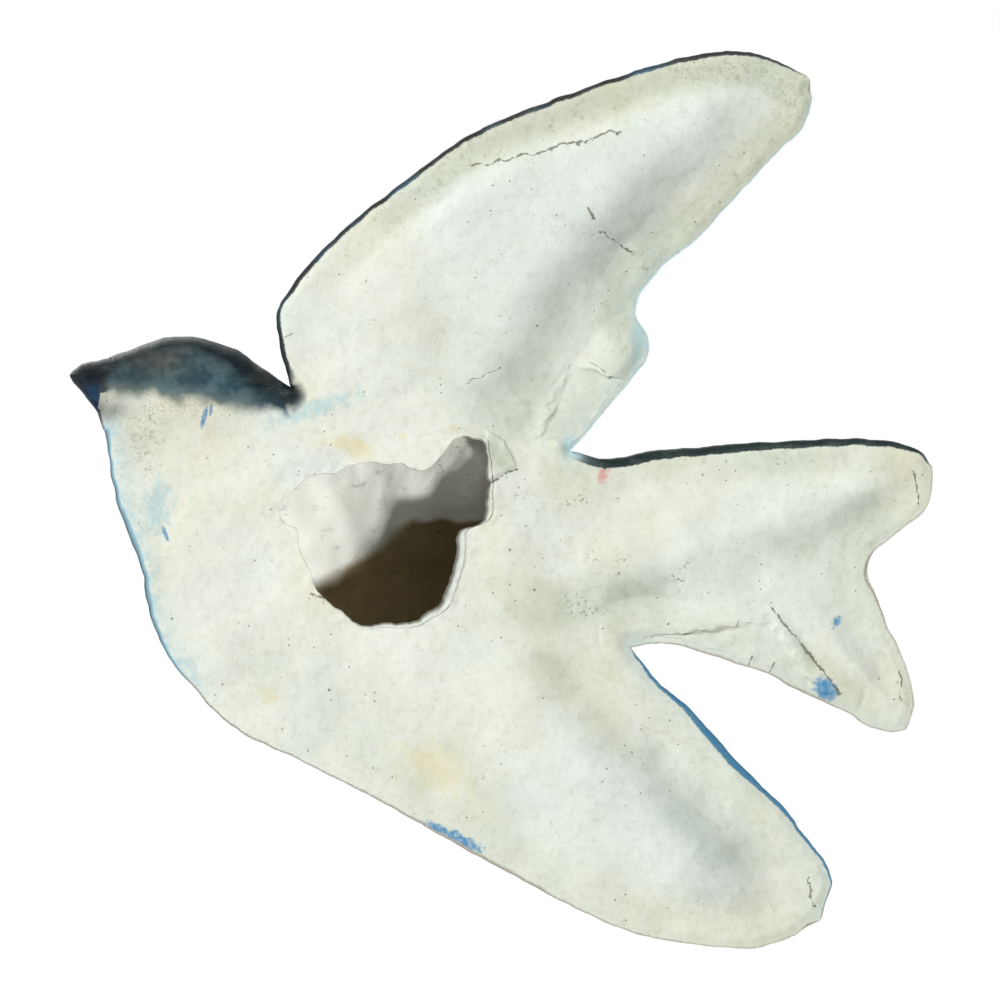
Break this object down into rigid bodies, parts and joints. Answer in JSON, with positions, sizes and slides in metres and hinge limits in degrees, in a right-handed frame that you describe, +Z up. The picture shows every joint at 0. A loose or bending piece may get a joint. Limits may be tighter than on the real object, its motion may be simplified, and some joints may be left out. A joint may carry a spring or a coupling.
{
  "type": "chalkware wall ornament",
  "caption": "Hollow cast-plaster bird in flight for a wall, painted on the front, with a nail notch in its open back.",
  "frame": {"origin": "seat of the nail, at the top of the notch in the hole through the back, on the plane of the wall", "axes": "+Z up as it hangs, +Y out of the back into the wall, +X towards the bird's head; the moulded front faces -Y"},
  "size_m": [0.2161, 0.0399, 0.2237],
  "materials": {
    "bare_plaster": "dry unpainted casting plaster, off-white, pinholed and aged",
    "smeared_plaster": "dry plaster trowelled on by hand, slightly whiter",
    "painted_body": "sprayed satin paint on plaster, pale blue to a peach breast",
    "painted_wings": "sprayed satin paint on plaster, blue with dark feather edges",
    "painted_tail": "sprayed satin paint on plaster, blue with a dark upper edge",
    "painted_head": "sprayed satin paint on plaster, charcoal to teal",
    "painted_beak": "sprayed satin paint on plaster, navy"
  },
  "bodies": {
    "root": {"back_skin": "bare_plaster", "breast_shell": "painted_body", "head": "painted_head", "beak": "painted_beak", "upper_wing": "painted_wings", "lower_wing": "painted_wings", "upper_tail_lobe": "painted_tail", "lower_tail_lobe": "painted_tail", "wing_root_smear": "smeared_plaster", "tail_edge_smear": "smeared_plaster"}
  },
  "joints": []
}
